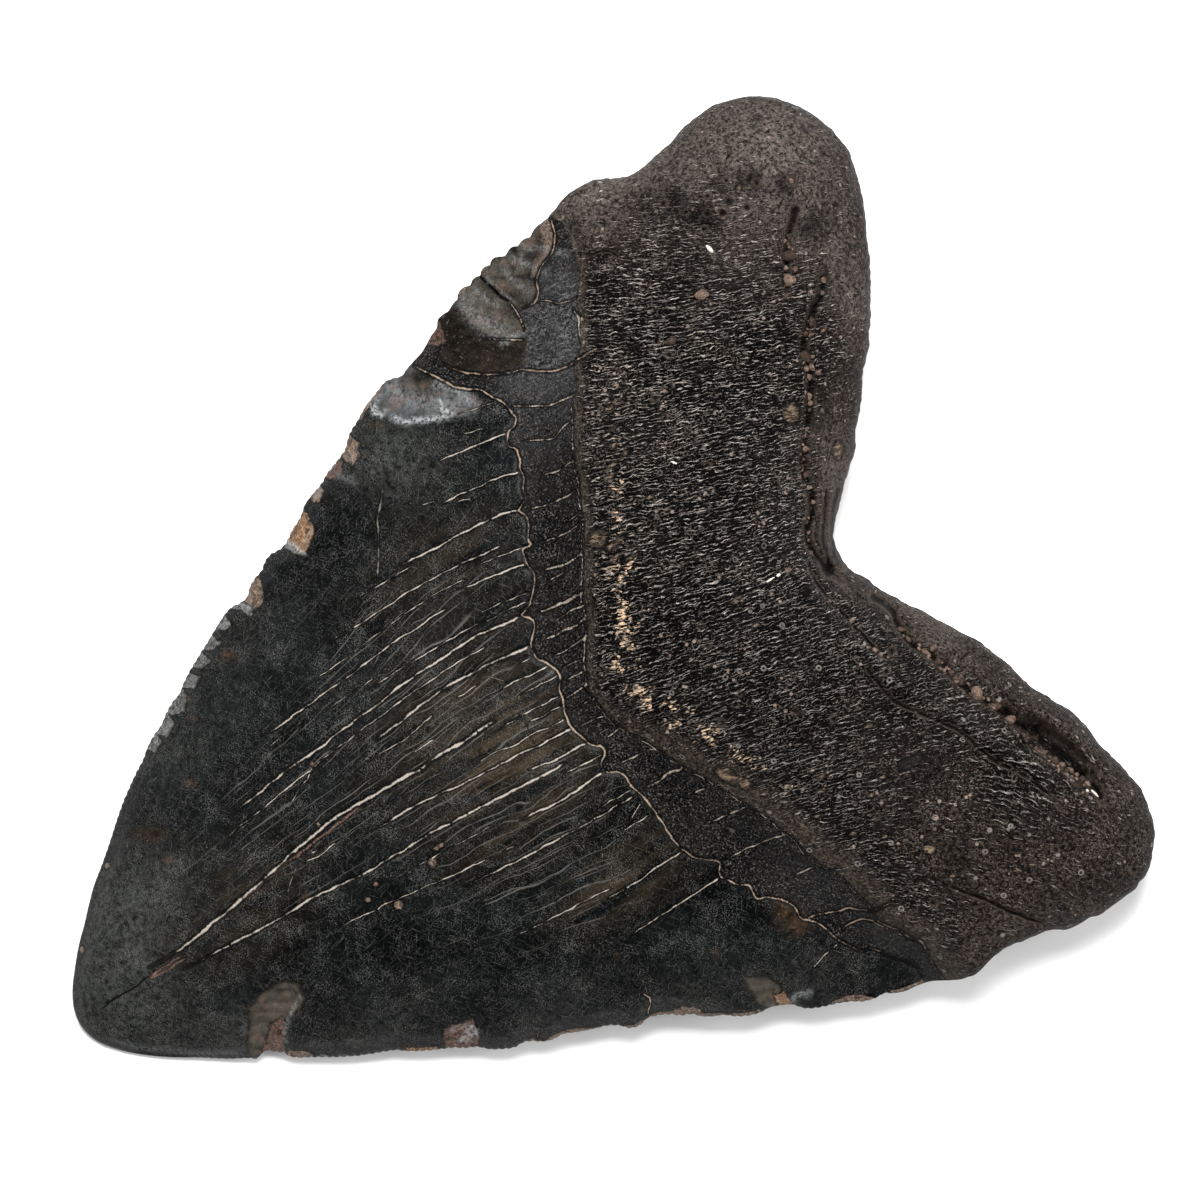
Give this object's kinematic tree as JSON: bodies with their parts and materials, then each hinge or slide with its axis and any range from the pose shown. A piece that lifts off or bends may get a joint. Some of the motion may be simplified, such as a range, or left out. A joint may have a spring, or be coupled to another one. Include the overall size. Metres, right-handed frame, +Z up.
{
  "type": "megalodon tooth",
  "caption": "Fossil shark tooth lying flat: black triangular crown with serrated cutting edges, chevron neck band and a thick two-lobed root.",
  "frame": {"origin": "on the table under the middle of the tooth's box, where it lies on its labial face", "axes": "+Y from the crown's tip to the root, +X across the blade with the shorter root lobe on the +X side, +Z up out of the lingual face"},
  "size_m": [0.0886, 0.1117, 0.0241],
  "materials": {
    "fossil_tooth": "satin",
    "crevice_grit": "matte",
    "shell_bits": "matte"
  },
  "bodies": {
    "root": {"tooth": "fossil_tooth"}
  },
  "joints": []
}
